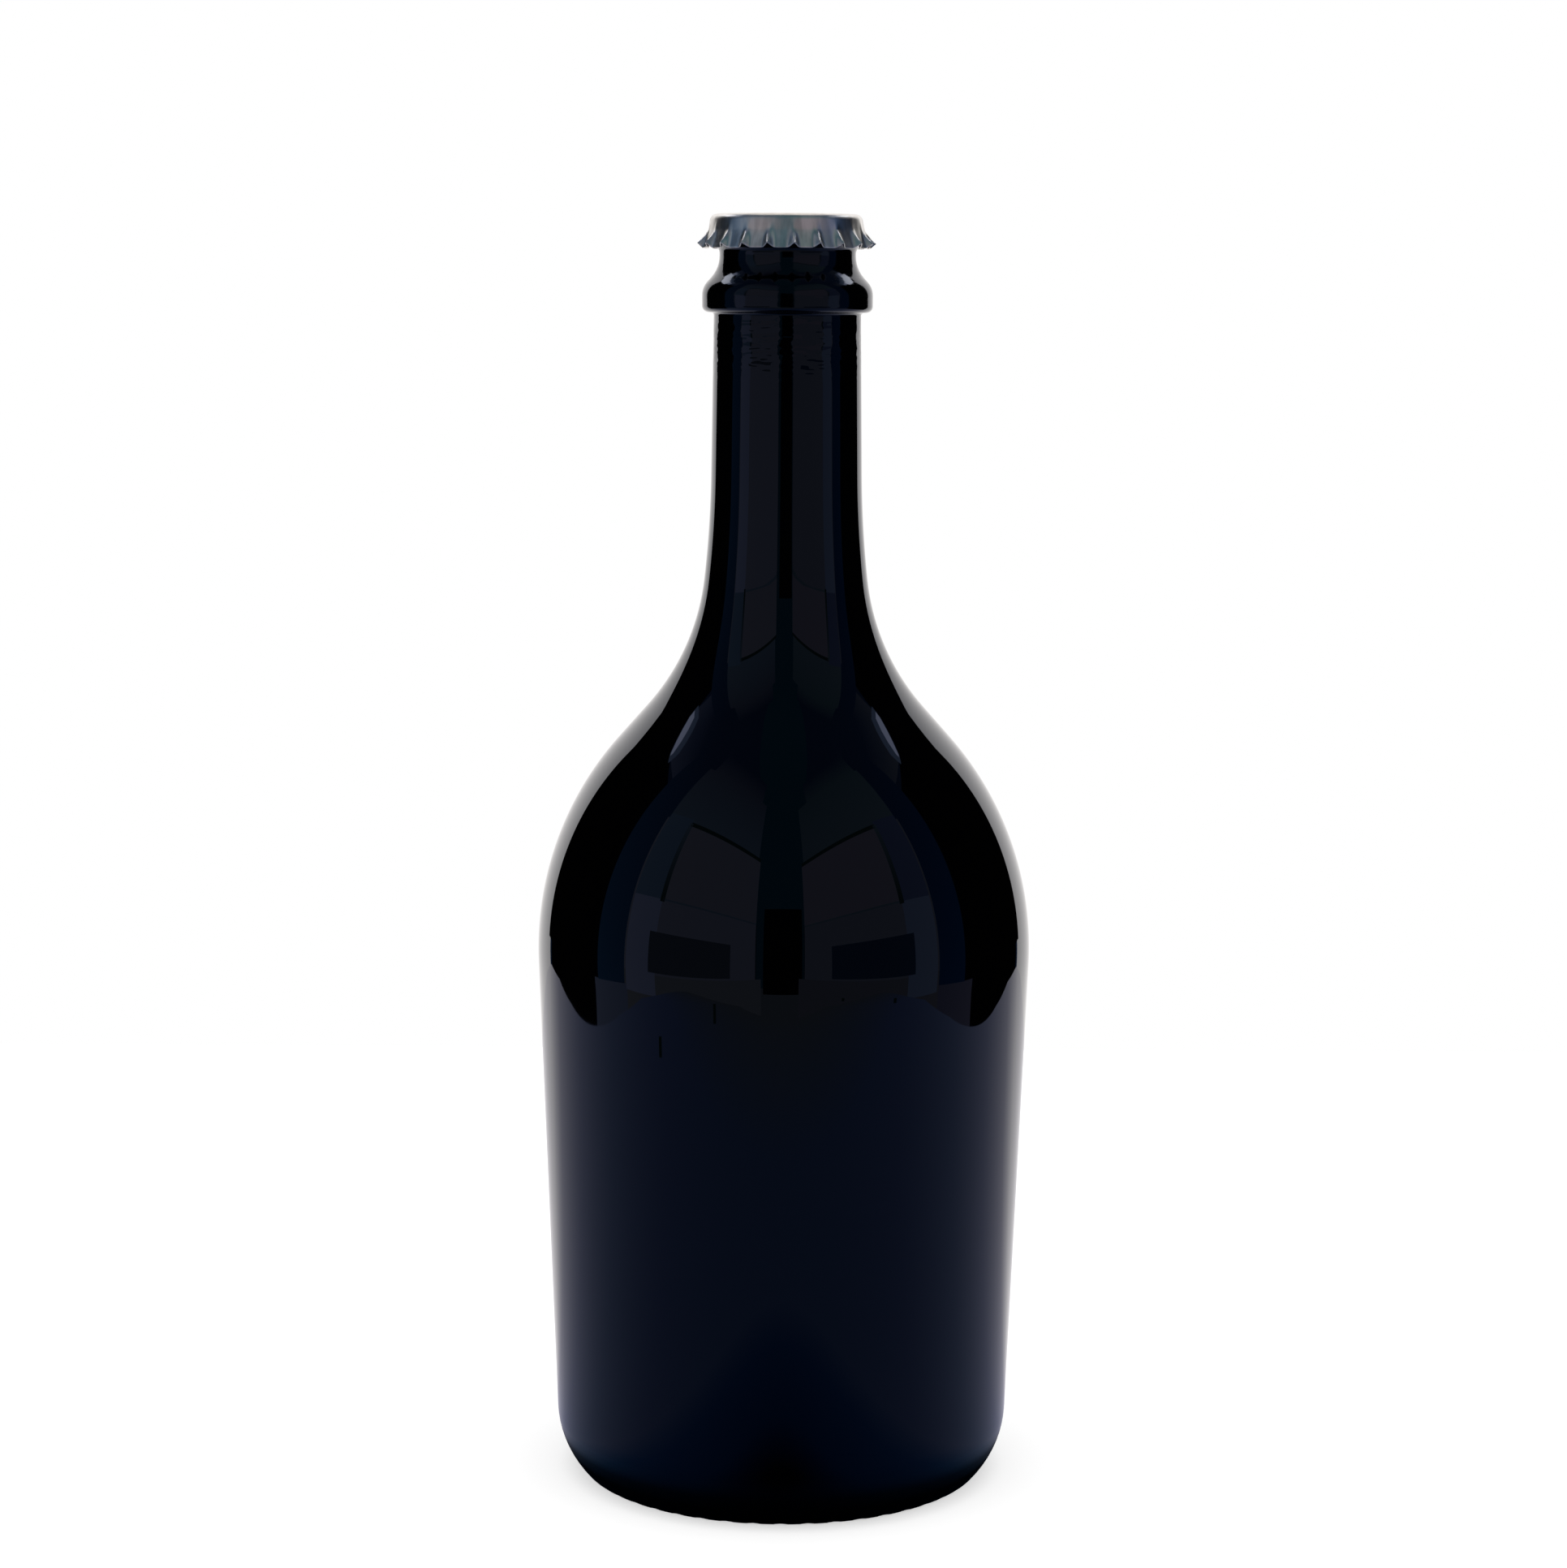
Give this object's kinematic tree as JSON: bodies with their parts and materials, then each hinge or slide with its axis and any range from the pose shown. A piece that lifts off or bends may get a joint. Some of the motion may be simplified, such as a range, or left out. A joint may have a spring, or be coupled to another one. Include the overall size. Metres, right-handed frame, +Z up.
{
  "type": "crown cap bottle",
  "caption": "Squat black glass bottle with a round shoulder, a long neck with a bead under the lip, a knurled base and a silver crown cap whose fluted skirt still flares.",
  "frame": {"origin": "middle of the bearing plane that the bottle stands on, on the bottle's axis", "axes": "+Z up along the bottle's axis, -Y towards the front, +X to the right of someone who looks at the front"},
  "size_m": [0.0982, 0.0982, 0.2516],
  "materials": {
    "black_glass": "glossy, opaque blue-black",
    "silver_steel": "bright silver, smooth"
  },
  "bodies": {
    "root": {"bottle": "black_glass", "crown_cap": "silver_steel"}
  },
  "joints": []
}
